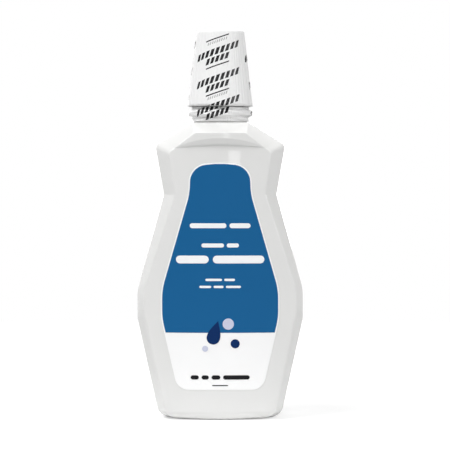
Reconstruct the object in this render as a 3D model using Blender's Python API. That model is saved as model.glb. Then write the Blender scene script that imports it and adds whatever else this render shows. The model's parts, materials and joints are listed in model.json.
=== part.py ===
"""Mouthwash bottle with a tall measuring cap, a shrink band and two labels.

Metres, +Z up. The front of the bottle faces -Y. The origin is the middle of the base,
on the surface that the bottle stands on.
"""

import math

import bmesh
import bpy
from mathutils import Vector

MM = 0.001

# Bottle outline seen from the front: the half width of each corner, and how far it stands above the last
FOOT_HALF_WIDTH = 38.9 * MM
HIP_HALF_WIDTH = 53.3 * MM
HIP_FOOT_HEIGHT = 65.0 * MM
HIP_SPAN = 18.5 * MM
WAIST_HALF_WIDTH = 36.3 * MM
WAIST_ABOVE_HIP = 61.2 * MM
SHOULDER_HALF_WIDTH = 41.8 * MM
SHOULDER_ABOVE_WAIST = 31.5 * MM
PLATFORM_ABOVE_SHOULDER = 14.8 * MM
PLATFORM_MARGIN = 0.4 * MM

# How far each corner's chamfer reaches in across the front, and how far it drops
PLATFORM_CHAMFER = 0.9 * MM
PLATFORM_CHAMFER_DROP = 7.0 * MM
SHOULDER_CHAMFER = 8.9 * MM
SHOULDER_CHAMFER_DROP = 4.8 * MM
WAIST_CHAMFER = 7.2 * MM
HIP_CHAMFER = 4.1 * MM
FOOT_CHAMFER = 4.8 * MM

# Rounding of the outline's corners and of the long creases
PLATFORM_RADIUS = 1.5 * MM
SHOULDER_RADIUS = 3.5 * MM
WAIST_RADIUS = 2.0 * MM
HIP_RADIUS = 30.0 * MM
RIM_CREASE = 2.6 * MM
PANEL_CREASE = 1.8 * MM

# Depth, front to back
SHOULDER_HALF_DEPTH = 35.3 * MM
RIM_HALF_DEPTH = 21.5 * MM
RIM_CROWN = 0.6 * MM
SHOULDER_BOW_RADIUS = 110.0 * MM
PANEL_BOW_RADIUS = 250.0 * MM
PLATFORM_EDGE = 1.2 * MM

# The arched ledge between the full shoulder and the flatter label panel
LEDGE_APEX_BELOW_PANEL_TOP = 3.9 * MM
LEDGE_APEX_DROP = 3.9 * MM
LEDGE_FADE_ABOVE_WAIST = 10.3 * MM

# Wall, heel and base
WALL = 1.1 * MM
HEEL_HEIGHT = 6.5 * MM
BASE_HALF_WIDTH = 36.6 * MM
BASE_HALF_DEPTH = 28.0 * MM
STANDING_RING_WIDTH = 4.2 * MM
PUSH_UP = 4.2 * MM
PUSH_UP_SLOPE = 5.0 * MM

# Neck and its screw thread
NECK_HEIGHT = 23.0 * MM
NECK_RADIUS = 15.1 * MM
NECK_WALL = 2.1 * MM
NECK_FOOT_STEP = 2.4 * MM
NECK_SINK = 0.4 * MM
BEAD_STEP = 2.5 * MM
BEAD_FOOT = 5.1 * MM
BEAD_THICKNESS = 2.6 * MM
LIP_CHAMFER = 0.5 * MM
THREAD_PITCH = 4.23 * MM
THREAD_HEIGHT = 1.1 * MM
THREAD_ROOT_WIDTH = 2.2 * MM
THREAD_CREST_WIDTH = 1.0 * MM
THREAD_SINK = 0.4 * MM
NECK_THREAD_TURNS = 2.0
CAP_THREAD_TURNS = 1.5
CAP_THREAD_LEAD_IN_TURNS = 0.4

# Contents
FILL_BELOW_PLATFORM = 9.5 * MM

# Cap
FIT_GAP = 0.3 * MM
SEAL_THICKNESS = 1.0 * MM
SEAL_WIDTH = 2.5 * MM
CUP_MOUTH_STEP = 0.6 * MM
CUP_WALL = 1.1 * MM
CUP_LAND = 1.2 * MM
SKIRT_WALL = 1.0 * MM
SKIRT_COLLAR = 1.6 * MM
DOSE_RING_HEIGHT = 0.35 * MM
DOSE_RING_WIDTH = 0.9 * MM
DOSE_RING_DEPTHS = (8.0 * MM, 20.0 * MM)
SHELL_WALL = 1.2 * MM
SHELL_OVERHANG = 0.7 * MM
SHELL_TAPER = 5.6 * MM
SHELL_HEIGHT = 49.3 * MM
SHELL_FOOT_ABOVE_BEAD = 3.0 * MM
SHELL_TOP_ROUND = 1.8 * MM
RIB_DEPTH = 0.25 * MM
RIB_COUNT = 60

# Shrink band
FILM = 0.2 * MM
BAND_OVERLAP = 4.5 * MM
BAND_TEAR_GAP = 0.4 * MM
BAND_FOOT_ABOVE_PLATFORM = 0.5 * MM
BAND_WAIST_STEP = 0.5 * MM

# Labels: how far each corner of the film stays inside the panel's edge, and its place along the panel
LABEL_CORNER_MARGIN = 13.1 * MM
LABEL_TOP_BELOW_SHOULDER = 11.5 * MM
LABEL_TOP_BOW = 0.5 * MM
LABEL_WAIST_MARGIN = 8.8 * MM
LABEL_WAIST_RISE = 0.8 * MM
LABEL_HIP_MARGIN = 11.2 * MM
LABEL_HIP_RISE = 0.6 * MM
LABEL_FOOT_MARGIN = 6.8 * MM
LABEL_FOOT_HEIGHT = 19.7 * MM
LABEL_CORNER_RADIUS = 11.0 * MM
LABEL_WAIST_RADIUS = 40.0 * MM
LABEL_HIP_RADIUS = 45.0 * MM
LABEL_FOOT_RADIUS = 9.0 * MM
LABEL_FILM = 0.15 * MM
PRINT_BORDER = 0.9 * MM
PRINT_FOOT_ABOVE_LABEL_FOOT = 36.7 * MM
PRINT_FILM = 0.1 * MM

# Fineness of the meshes, in counts
ROUND_SEGMENTS = 48
ARC_STEPS = 2
COLUMN_SHARES = (0.75, 0.5, 0.25, 0.0)
SIDE_COLUMN_SHARES = (0.0, 0.35, 0.7)
SLOPE_SHARES = (0.3, 0.55, 0.76, 0.84)
UPPER_LEDGE_SHARE = 0.76
LOWER_LEDGE_SHARE = 0.84
FLANK_SHARES = (0.33, 0.66)
SIDE_SHARES = (0.5,)
HEEL_ANGLES_DEG = (0.0, 30.0, 60.0, 90.0)

# Sizes that follow from the ones above
BORE_RADIUS = NECK_RADIUS - NECK_WALL
NECK_FOOT_RADIUS = NECK_RADIUS + NECK_FOOT_STEP
BEAD_RADIUS = NECK_FOOT_RADIUS + BEAD_STEP
BAND_WAIST_RADIUS = NECK_FOOT_RADIUS + BAND_WAIST_STEP
SHELL_FOOT_RADIUS = BEAD_RADIUS + SHELL_OVERHANG
SHELL_TOP_RADIUS = SHELL_FOOT_RADIUS - SHELL_TAPER
CUP_MOUTH_RADIUS = BORE_RADIUS + CUP_MOUTH_STEP
CUP_END_RADIUS = SHELL_TOP_RADIUS - SHELL_WALL - FIT_GAP - CUP_WALL
PLATFORM_HALF_WIDTH = NECK_FOOT_RADIUS + PLATFORM_MARGIN
HIP_TOP_HEIGHT = HIP_FOOT_HEIGHT + HIP_SPAN
WAIST_HEIGHT = HIP_TOP_HEIGHT + WAIST_ABOVE_HIP
SHOULDER_HEIGHT = WAIST_HEIGHT + SHOULDER_ABOVE_WAIST
PLATFORM_HEIGHT = SHOULDER_HEIGHT + PLATFORM_ABOVE_SHOULDER
PANEL_TOP_HEIGHT = PLATFORM_HEIGHT - PLATFORM_CHAMFER_DROP
LEDGE_APEX_HEIGHT = PANEL_TOP_HEIGHT - LEDGE_APEX_BELOW_PANEL_TOP
LEDGE_FOOT_APEX_HEIGHT = LEDGE_APEX_HEIGHT - LEDGE_APEX_DROP
LEDGE_FADE_HEIGHT = WAIST_HEIGHT + LEDGE_FADE_ABOVE_WAIST
FILL_HEIGHT = PLATFORM_HEIGHT - FILL_BELOW_PLATFORM
LABEL_TOP_HEIGHT = SHOULDER_HEIGHT - LABEL_TOP_BELOW_SHOULDER
LABEL_WAIST_HEIGHT = WAIST_HEIGHT + LABEL_WAIST_RISE
PRINT_FOOT_HEIGHT = LABEL_FOOT_HEIGHT + PRINT_FOOT_ABOVE_LABEL_FOOT
LIP_HEIGHT = PLATFORM_HEIGHT + NECK_HEIGHT
BEAD_FOOT_HEIGHT = PLATFORM_HEIGHT + BEAD_FOOT
BEAD_TOP_HEIGHT = BEAD_FOOT_HEIGHT + BEAD_THICKNESS
SHELL_FOOT_HEIGHT = BEAD_TOP_HEIGHT + SHELL_FOOT_ABOVE_BEAD
THREAD_RADIUS = NECK_RADIUS + THREAD_HEIGHT
THREAD_TOP_HEIGHT = LIP_HEIGHT - LIP_CHAMFER - THREAD_ROOT_WIDTH / 2
SKIRT_RADIUS = THREAD_RADIUS + FIT_GAP


def clear_scene():
    """Removes the objects that a new scene starts with."""
    for old in list(bpy.data.objects):
        bpy.data.objects.remove(old)


def material(name, colour, roughness, metallic=0.0):
    """A Principled material with one colour."""
    made = bpy.data.materials.new(name)
    made.use_nodes = True
    shader = made.node_tree.nodes["Principled BSDF"]
    shader.inputs["Base Color"].default_value = (*colour, 1.0)
    shader.inputs["Roughness"].default_value = roughness
    shader.inputs["Metallic"].default_value = metallic
    return made


def add_object(name, bm, finish):
    """Turns a bmesh into a named object, shaded smooth with its hard edges kept."""
    mesh = bpy.data.meshes.new(name)
    bm.to_mesh(mesh)
    bm.free()
    mesh.materials.append(finish)
    mesh.shade_smooth()
    mesh.set_sharp_from_angle(angle=math.radians(30.0))
    made = bpy.data.objects.new(name, mesh)
    bpy.context.scene.collection.objects.link(made)
    return made


def join_by_union(target, piece):
    """Unites a hidden piece with the target, so that the two are one solid."""
    piece.hide_render = True
    piece.display_type = "WIRE"
    union = target.modifiers.new("join_" + piece.name, "BOOLEAN")
    union.operation = "UNION"
    union.solver = "EXACT"
    union.object = piece


def fillet(before, corner, after, radius, steps):
    """The arc that rounds a corner, as steps + 1 points. It never passes half of either side."""
    back = before - corner
    on = after - corner
    half_angle = back.angle(on) / 2
    reach = min(radius / math.tan(half_angle), back.length / 2, on.length / 2)
    start = corner + back.normalized() * reach
    end = corner + on.normalized() * reach
    points = []
    for i in range(steps + 1):
        t = i / steps
        pull = 2 * t * (1 - t) * math.sin(half_angle)
        weights = (1 - t) ** 2 + pull + t ** 2
        points.append((start * (1 - t) ** 2 + corner * pull + end * t ** 2) / weights)
    return points


def rounded_outline(corners, radii, shares):
    """An arc at each inner corner, then points at the given shares of the straight after it."""
    arcs = []
    for i in range(1, len(corners) - 1):
        arcs.append(fillet(corners[i - 1], corners[i], corners[i + 1], radii[i - 1], ARC_STEPS))
    points = []
    for i, arc in enumerate(arcs):
        points.extend(arc)
        end = arcs[i + 1][0] if i + 1 < len(arcs) else corners[-1]
        for share in shares[i]:
            points.append(arc[-1].lerp(end, share))
    return points


def shoulder_depth(x):
    """Half depth of the full shoulder at x."""
    return SHOULDER_HALF_DEPTH - x * x / (2 * SHOULDER_BOW_RADIUS)


def panel_depth(x):
    """Half depth of the flatter label panel at x. It meets the shoulder at the ends of the ledge."""
    end = ledge_end().x
    recess = end * end / 2 * (1 / SHOULDER_BOW_RADIUS - 1 / PANEL_BOW_RADIUS)
    return SHOULDER_HALF_DEPTH - recess - x * x / (2 * PANEL_BOW_RADIUS)


def panel_corners():
    """Corners of the front panel, half width and height, where the chamfer ends."""
    return [
        Vector((0.0, PANEL_TOP_HEIGHT)),
        Vector((PLATFORM_HALF_WIDTH - PLATFORM_CHAMFER, PANEL_TOP_HEIGHT)),
        Vector((SHOULDER_HALF_WIDTH - SHOULDER_CHAMFER, SHOULDER_HEIGHT - SHOULDER_CHAMFER_DROP)),
        Vector((WAIST_HALF_WIDTH - WAIST_CHAMFER, WAIST_HEIGHT)),
        Vector((HIP_HALF_WIDTH - HIP_CHAMFER, HIP_TOP_HEIGHT)),
        Vector((HIP_HALF_WIDTH - HIP_CHAMFER, HIP_FOOT_HEIGHT + HIP_CHAMFER)),
        Vector((FOOT_HALF_WIDTH - FOOT_CHAMFER, 0.0)),
    ]


def ledge_end():
    """Where the ledge runs out, on the sloping side of the panel."""
    corners = panel_corners()
    return corners[1].lerp(corners[2], (UPPER_LEDGE_SHARE + LOWER_LEDGE_SHARE) / 2)


def stations():
    """Pairs of outline and panel points down the body, from the platform to the foot."""
    outer_corners = [
        Vector((0.0, PLATFORM_HEIGHT)),
        Vector((PLATFORM_HALF_WIDTH, PLATFORM_HEIGHT)),
        Vector((SHOULDER_HALF_WIDTH, SHOULDER_HEIGHT)),
        Vector((WAIST_HALF_WIDTH, WAIST_HEIGHT)),
        Vector((HIP_HALF_WIDTH, HIP_TOP_HEIGHT)),
        Vector((HIP_HALF_WIDTH, HIP_FOOT_HEIGHT)),
        Vector((FOOT_HALF_WIDTH, 0.0)),
    ]
    radii = [PLATFORM_RADIUS, SHOULDER_RADIUS, WAIST_RADIUS, HIP_RADIUS, HIP_RADIUS]
    shares = [SLOPE_SHARES, SIDE_SHARES, FLANK_SHARES, (), FLANK_SHARES]
    outer = rounded_outline(outer_corners, radii, shares)
    inner = rounded_outline(panel_corners(), radii, shares)
    return list(zip(outer, inner))


def mirrored_ring(quarter):
    """A closed loop from the points of its front right quarter, side first and middle last."""
    across = [Vector((-p.x, p.y, p.z)) for p in quarter]
    behind = [Vector((p.x, -p.y, p.z)) for p in quarter]
    opposite = [Vector((-p.x, -p.y, p.z)) for p in quarter]
    return quarter + across[-2::-1] + opposite[1:] + behind[-2:0:-1]


def body_ring(outer, inner, depth, bow):
    """The loop of the body through one outline point and one panel point."""
    quarter = []
    for share in SIDE_COLUMN_SHARES:
        crown = RIM_CROWN * (1 - share * share)
        quarter.append(Vector((outer.x + crown, -RIM_HALF_DEPTH * share, outer.y)))
    rim = Vector((outer.x, -RIM_HALF_DEPTH, outer.y))
    crease = Vector((inner.x, -depth(inner.x), inner.y))
    row = []
    for share in COLUMN_SHARES:
        x = inner.x * share
        row.append(Vector((x, -depth(x), inner.y + bow * (1 - share * share))))
    quarter += fillet(quarter[-1], rim, crease, RIM_CREASE, ARC_STEPS)
    quarter += fillet(rim, crease, row[0], PANEL_CREASE, ARC_STEPS)
    return mirrored_ring(quarter + row)


def row_bow(inner, below_ledge):
    """How far the middle of a row of the front stands above its ends."""
    end = ledge_end().y
    if not below_ledge:
        done = (PANEL_TOP_HEIGHT - inner.y) / (PANEL_TOP_HEIGHT - end)
        return PANEL_TOP_HEIGHT - LEDGE_APEX_BELOW_PANEL_TOP * done - inner.y
    left = (inner.y - LEDGE_FADE_HEIGHT) / (end - LEDGE_FADE_HEIGHT)
    return (LEDGE_FOOT_APEX_HEIGHT - end) * max(0.0, left)


def body_rings():
    """All loops of the outside of the body, from the hole for the neck to the push-up of the base."""
    places = stations()
    ledge = ARC_STEPS + 1 + SLOPE_SHARES.index(LOWER_LEDGE_SHARE)
    rings = []
    for i, (outer, inner) in enumerate(places):
        below = i >= ledge
        depth = panel_depth if below else shoulder_depth
        rings.append(body_ring(outer, inner, depth, row_bow(inner, below)))
    rings += heel_rings(places[-1 - len(FLANK_SHARES)])
    return platform_rings(rings[0]) + rings


def platform_rings(first):
    """The edge of the hole under the neck, and the edge of the flat platform round it."""
    edge = []
    hole = []
    for p in first:
        flat = Vector((p.x, p.y, 0.0))
        share = 1.0
        if abs(flat.y) > RIM_HALF_DEPTH:
            share = RIM_HALF_DEPTH / abs(flat.y)
        reach = flat.length * share - PLATFORM_EDGE
        edge.append(flat.normalized() * reach + Vector((0.0, 0.0, PLATFORM_HEIGHT)))
        middle = (BORE_RADIUS + NECK_FOOT_RADIUS) / 2
        hole.append(flat.normalized() * middle + Vector((0.0, 0.0, PLATFORM_HEIGHT)))
    return [hole, edge]


def heel_rings(hip_foot):
    """Loops that turn the faceted body into its oval standing ring, and the push-up inside it."""
    outer_top, inner_top = hip_foot
    outer_foot = Vector((FOOT_HALF_WIDTH, 0.0))
    inner_foot = Vector((FOOT_HALF_WIDTH - FOOT_CHAMFER, 0.0))
    rings = []
    for angle in HEEL_ANGLES_DEG:
        height = HEEL_HEIGHT * (1 - math.sin(math.radians(angle)))
        outer = outer_foot.lerp(outer_top, height / outer_top.y)
        inner = inner_foot.lerp(inner_top, height / inner_top.y)
        section = body_ring(outer, inner, panel_depth, 0.0)
        oval = [oval_point(p, 0.0, height) for p in section]
        rings.append([a.lerp(b, math.cos(math.radians(angle))) for a, b in zip(oval, section)])
    last = rings[-1]
    rings.append([oval_point(p, STANDING_RING_WIDTH, 0.0) for p in last])
    rings.append([oval_point(p, STANDING_RING_WIDTH + PUSH_UP_SLOPE, PUSH_UP) for p in last])
    return rings


def oval_point(p, inset, height):
    """The point of the base's oval that lies in the direction of p."""
    angle = math.atan2(p.y / BASE_HALF_DEPTH, p.x / BASE_HALF_WIDTH)
    across = (BASE_HALF_WIDTH - inset) * math.cos(angle)
    deep = (BASE_HALF_DEPTH - inset) * math.sin(angle)
    return Vector((across, deep, height))


def loft(bm, rings):
    """Skins a list of loops with quads and returns the rows of new vertices."""
    rows = [[bm.verts.new(p) for p in ring] for ring in rings]
    for above, below in zip(rows, rows[1:]):
        count = len(above)
        for i in range(count):
            j = (i + 1) % count
            bm.faces.new((above[i], above[j], below[j], below[i]))
    return rows


def split_quads(bm):
    """Cuts each bent quad along its shorter diagonal, so that the wall and the liquid bend alike."""
    quads = [face for face in bm.faces if len(face.verts) == 4]
    bmesh.ops.triangulate(bm, faces=quads, quad_method="SHORT_EDGE")


def make_bottle(finish):
    """The blown body with its wall, joined to the turned neck and its thread."""
    bm = bmesh.new()
    rows = loft(bm, body_rings())
    bm.faces.new(rows[-1])
    split_quads(bm)
    bmesh.ops.recalc_face_normals(bm, faces=bm.faces)
    bottle = add_object("bottle", bm, finish)
    wall = bottle.modifiers.new("wall", "SOLIDIFY")
    wall.thickness = WALL
    wall.offset = -1.0
    wall.use_even_offset = True
    join_by_union(bottle, turned("bottle_neck", neck_profile(), finish))
    ridge = thread("bottle_thread", NECK_RADIUS, THREAD_HEIGHT, neck_thread_start(), NECK_THREAD_TURNS, finish)
    join_by_union(bottle, ridge)
    return bottle


def neck_profile():
    """Half section of the neck, from the wall of the platform to the lip."""
    foot = PLATFORM_HEIGHT - WALL - NECK_SINK
    slope = (BEAD_RADIUS - NECK_FOOT_RADIUS) / 2
    return [
        (BORE_RADIUS, foot),
        (NECK_FOOT_RADIUS, foot),
        (NECK_FOOT_RADIUS, BEAD_FOOT_HEIGHT - slope),
        (BEAD_RADIUS, BEAD_FOOT_HEIGHT),
        (BEAD_RADIUS, BEAD_TOP_HEIGHT - LIP_CHAMFER),
        (BEAD_RADIUS - LIP_CHAMFER, BEAD_TOP_HEIGHT),
        (NECK_RADIUS, BEAD_TOP_HEIGHT),
        (NECK_RADIUS, LIP_HEIGHT - LIP_CHAMFER),
        (NECK_RADIUS - LIP_CHAMFER, LIP_HEIGHT),
        (BORE_RADIUS + LIP_CHAMFER, LIP_HEIGHT),
        (BORE_RADIUS, LIP_HEIGHT - LIP_CHAMFER),
    ]


def neck_thread_start():
    """Height at which the middle of the neck's thread begins, at angle zero."""
    return THREAD_TOP_HEIGHT - NECK_THREAD_TURNS * THREAD_PITCH


def turned(name, profile, finish, segments=ROUND_SEGMENTS):
    """A ring turned from a closed half section of (radius, height) points round the Z axis."""
    bm = bmesh.new()
    spin_profile(bm, profile, segments)
    return add_object(name, bm, finish)


def spin_profile(bm, profile, segments):
    """Spins a half section once round Z. Points on the axis become one vertex each."""
    verts = [bm.verts.new((radius, 0.0, height)) for radius, height in profile]
    edges = [bm.edges.new((verts[i - 1], verts[i])) for i in range(1, len(verts))]
    if profile[0][0] > 0.0 or profile[-1][0] > 0.0:
        edges.append(bm.edges.new((verts[-1], verts[0])))
    bmesh.ops.spin(
        bm,
        geom=verts + edges,
        axis=(0.0, 0.0, 1.0),
        cent=(0.0, 0.0, 0.0),
        angle=2 * math.pi,
        steps=segments,
        use_merge=True,
    )
    bmesh.ops.remove_doubles(bm, verts=bm.verts, dist=FILM / ROUND_SEGMENTS)
    bmesh.ops.recalc_face_normals(bm, faces=bm.faces)


def thread(name, wall_radius, height, start, turns, finish, lead_in=0.0):
    """A right-hand thread ridge on a round wall. A negative height points it inwards."""
    sink = math.copysign(THREAD_SINK, height)
    steps = round(turns * ROUND_SEGMENTS)
    fade = ROUND_SEGMENTS // 8
    rings = []
    for i in range(steps + 1):
        turn = lead_in + i / ROUND_SEGMENTS
        angle = 2 * math.pi * turn
        middle = start + THREAD_PITCH * turn
        full = min(1.0, (i + 1) / fade, (steps + 1 - i) / fade)
        crest = wall_radius + height * full
        root = wall_radius - sink
        section = [
            (root, -THREAD_ROOT_WIDTH / 2),
            (crest, -THREAD_CREST_WIDTH / 2),
            (crest, THREAD_CREST_WIDTH / 2),
            (root, THREAD_ROOT_WIDTH / 2),
        ]
        rings.append([Vector((r * math.cos(angle), r * math.sin(angle), middle + z)) for r, z in section])
    bm = bmesh.new()
    rows = loft(bm, rings)
    bm.faces.new(rows[0])
    bm.faces.new(rows[-1])
    bmesh.ops.recalc_face_normals(bm, faces=bm.faces)
    return add_object(name, bm, finish)


def make_mouthwash(finish):
    """The liquid: the inside of the bottle, up to the fill height."""
    bm = bmesh.new()
    rows = loft(bm, body_rings()[1:])
    bm.faces.new(rows[0])
    bm.faces.new(rows[-1])
    split_quads(bm)
    bmesh.ops.recalc_face_normals(bm, faces=bm.faces)
    inset = WALL + FIT_GAP
    moves = [(v, v.normal * inset * v.calc_shell_factor()) for v in bm.verts]
    for v, move in moves:
        v.co -= move
    cut = bmesh.ops.bisect_plane(
        bm,
        geom=bm.verts[:] + bm.edges[:] + bm.faces[:],
        plane_co=(0.0, 0.0, FILL_HEIGHT),
        plane_no=(0.0, 0.0, 1.0),
        clear_outer=True,
    )
    rim = [item for item in cut["geom_cut"] if isinstance(item, bmesh.types.BMEdge)]
    bmesh.ops.edgeloop_fill(bm, edges=rim)
    bmesh.ops.recalc_face_normals(bm, faces=bm.faces)
    return add_object("mouthwash", bm, finish)


def shell_radius(height):
    """Outer radius of the cap shell at a height, on its ribs."""
    share = (height - SHELL_FOOT_HEIGHT) / SHELL_HEIGHT
    return SHELL_FOOT_RADIUS + (SHELL_TOP_RADIUS - SHELL_FOOT_RADIUS) * share


def make_cap_shell(finish):
    """The ribbed outer cover of the cap, closed at the top."""
    top = SHELL_FOOT_HEIGHT + SHELL_HEIGHT
    round_start = top - SHELL_TOP_ROUND
    mid = SHELL_TOP_ROUND * (1 - math.sqrt(0.5))
    ceiling = top - SHELL_WALL
    profile = [
        (0.0, top),
        (shell_radius(top) - SHELL_TOP_ROUND, top),
        (shell_radius(top) - mid, top - mid),
        (shell_radius(round_start), round_start),
        (shell_radius(SHELL_FOOT_HEIGHT), SHELL_FOOT_HEIGHT),
        (shell_radius(SHELL_FOOT_HEIGHT) - SHELL_WALL, SHELL_FOOT_HEIGHT),
        (shell_radius(ceiling) - SHELL_WALL, ceiling),
        (0.0, ceiling),
    ]
    bm = bmesh.new()
    segments = 2 * RIB_COUNT
    spin_profile(bm, profile, segments)
    for v in bm.verts:
        radius = math.hypot(v.co.x, v.co.y)
        on_wall = radius > shell_radius(v.co.z) - SHELL_WALL / 2 and v.co.z <= round_start + FIT_GAP
        step = round(math.atan2(v.co.y, v.co.x) / (2 * math.pi) * segments)
        if on_wall and step % 2:
            share = (radius - RIB_DEPTH) / radius
            v.co.x *= share
            v.co.y *= share
    return add_object("cap_shell", bm, finish)


def seal_foot():
    """Height of the underside of the seal ring."""
    return LIP_HEIGHT + FIT_GAP


def land_height():
    """Height of the land in the cup that presses on the seal ring."""
    return seal_foot() + SEAL_THICKNESS + FIT_GAP


def make_seal_ring(finish):
    """The washer between the lip of the neck and the land of the cup."""
    inner = BORE_RADIUS + FIT_GAP
    profile = [
        (inner, seal_foot()),
        (inner + SEAL_WIDTH, seal_foot()),
        (inner + SEAL_WIDTH, seal_foot() + SEAL_THICKNESS),
        (inner, seal_foot() + SEAL_THICKNESS),
    ]
    return turned("seal_ring", profile, finish)


def cup_radius(height):
    """Inner radius of the beaker at a height."""
    end = SHELL_FOOT_HEIGHT + SHELL_HEIGHT - SHELL_WALL - FIT_GAP - CUP_WALL
    share = (height - land_height()) / (end - land_height())
    return CUP_MOUTH_RADIUS + (CUP_END_RADIUS - CUP_MOUTH_RADIUS) * share


def cup_profile():
    """Half section of the measuring cup: beaker, land, threaded skirt and collar."""
    end = SHELL_FOOT_HEIGHT + SHELL_HEIGHT - SHELL_WALL - FIT_GAP - CUP_WALL
    land = land_height()
    foot = SHELL_FOOT_HEIGHT + SKIRT_WALL
    skirt = SKIRT_RADIUS + SKIRT_WALL
    collar = shell_radius(foot + SKIRT_COLLAR) - SHELL_WALL - FIT_GAP
    inside = [(0.0, end)]
    for depth in reversed(DOSE_RING_DEPTHS):
        ring = land + depth
        inside.append((cup_radius(ring + DOSE_RING_WIDTH / 2), ring + DOSE_RING_WIDTH / 2))
        inside.append((cup_radius(ring) - DOSE_RING_HEIGHT, ring))
        inside.append((cup_radius(ring - DOSE_RING_WIDTH / 2), ring - DOSE_RING_WIDTH / 2))
    inside.insert(1, (cup_radius(end), end))
    inside.append((cup_radius(land), land))
    outside = [
        (SKIRT_RADIUS, land),
        (SKIRT_RADIUS, foot),
        (collar, foot),
        (collar, foot + SKIRT_COLLAR),
        (skirt, foot + SKIRT_COLLAR + (collar - skirt)),
        (skirt, land + CUP_LAND),
        (cup_radius(land + CUP_LAND) + CUP_WALL, land + CUP_LAND),
        (cup_radius(end) + CUP_WALL, end + CUP_WALL),
        (0.0, end + CUP_WALL),
    ]
    return inside + outside


def make_dosing_cup(finish):
    """The inner piece of the cap: a beaker that is open downwards, with the screw thread."""
    cup = turned("dosing_cup", cup_profile(), finish)
    start = neck_thread_start() + THREAD_PITCH / 2
    ridge = thread(
        "dosing_cup_thread",
        SKIRT_RADIUS,
        -(THREAD_HEIGHT - FIT_GAP / 2),
        start,
        CAP_THREAD_TURNS,
        finish,
        lead_in=-CAP_THREAD_LEAD_IN_TURNS,
    )
    join_by_union(cup, ridge)
    return cup


def make_band_upper(finish):
    """The shrink band on the cap: a sleeve that is turned over the edge of the top."""
    foot = SHELL_FOOT_HEIGHT + BAND_TEAR_GAP / 2
    top = SHELL_FOOT_HEIGHT + SHELL_HEIGHT
    round_start = top - SHELL_TOP_ROUND
    mid = SHELL_TOP_ROUND * (1 - math.sqrt(0.5))
    line = [
        (shell_radius(foot), foot),
        (shell_radius(round_start), round_start),
        (shell_radius(top) - mid, top - mid),
        (shell_radius(top) - SHELL_TOP_ROUND, top),
        (shell_radius(top) - SHELL_TOP_ROUND - BAND_OVERLAP, top),
    ]
    return turned("shrink_band_upper", film_section(line), finish, segments=2 * ROUND_SEGMENTS)


def make_band_lower(finish):
    """The shrink band on the neck: below its tear line, drawn in above and below the bead."""
    foot = PLATFORM_HEIGHT + BAND_FOOT_ABOVE_PLATFORM
    slope = (BEAD_RADIUS - NECK_FOOT_RADIUS) / 2
    top = SHELL_FOOT_HEIGHT - BAND_TEAR_GAP
    line = [
        (NECK_FOOT_RADIUS, foot),
        (NECK_FOOT_RADIUS, BEAD_FOOT_HEIGHT - slope),
        (BEAD_RADIUS, BEAD_FOOT_HEIGHT),
        (BEAD_RADIUS, BEAD_TOP_HEIGHT - LIP_CHAMFER),
        (BAND_WAIST_RADIUS, BEAD_TOP_HEIGHT + slope),
        (BAND_WAIST_RADIUS, top),
    ]
    return turned("shrink_band_lower", film_section(line), finish)


def film_section(line):
    """Closed half section of a film that keeps the fit gap to a line of (radius, height) points."""
    return offset_line(line, FIT_GAP) + offset_line(line, FIT_GAP + FILM)[::-1]


def offset_line(line, distance):
    """Moves an open line to its outer side, the right hand of its direction, corner by corner."""
    points = [Vector(p) for p in line]
    moved = []
    for i, p in enumerate(points):
        normals = []
        for a, b in ((i - 1, i), (i, i + 1)):
            if a >= 0 and b < len(points):
                along = (points[b] - points[a]).normalized()
                normals.append(Vector((along.y, -along.x)))
        middle = sum(normals, Vector((0.0, 0.0))).normalized()
        moved.append(tuple(p + middle * (distance / middle.dot(normals[0]))))
    return moved


def label_side():
    """The right edge of the label film, from the end of its top edge to its foot."""
    panel = panel_corners()
    corner = panel[2].x - LABEL_CORNER_MARGIN
    hip = panel[4].x - LABEL_HIP_MARGIN
    corners = [
        Vector((-corner, LABEL_TOP_HEIGHT)),
        Vector((corner, LABEL_TOP_HEIGHT)),
        Vector((panel[3].x - LABEL_WAIST_MARGIN, LABEL_WAIST_HEIGHT)),
        Vector((hip, HIP_TOP_HEIGHT + LABEL_HIP_RISE)),
        Vector((hip, HIP_FOOT_HEIGHT + LABEL_HIP_RISE)),
        Vector((panel[6].x - LABEL_FOOT_MARGIN, LABEL_FOOT_HEIGHT)),
        Vector((0.0, LABEL_FOOT_HEIGHT)),
    ]
    radii = [LABEL_CORNER_RADIUS, LABEL_WAIST_RADIUS, LABEL_HIP_RADIUS, LABEL_HIP_RADIUS, LABEL_FOOT_RADIUS]
    edge = []
    for i, radius in enumerate(radii):
        arc = fillet(corners[i], corners[i + 1], corners[i + 2], radius, 2 * ARC_STEPS)
        arcs_meet = edge and (arc[0] - edge[-1]).length < LABEL_FILM
        edge += arc[1:] if arcs_meet else arc
    return edge


def print_side():
    """The right edge of the printed field: the film's edge drawn in by the border, cut off level."""
    edge = [Vector(p) for p in offset_line([tuple(p) for p in reversed(label_side())], -PRINT_BORDER)]
    edge.reverse()
    kept = [p for p in edge if p.y > PRINT_FOOT_HEIGHT + PRINT_BORDER]
    following = edge[len(kept)]
    share = (kept[-1].y - PRINT_FOOT_HEIGHT) / (kept[-1].y - following.y)
    kept.append(kept[-1].lerp(following, share))
    return kept


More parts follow.
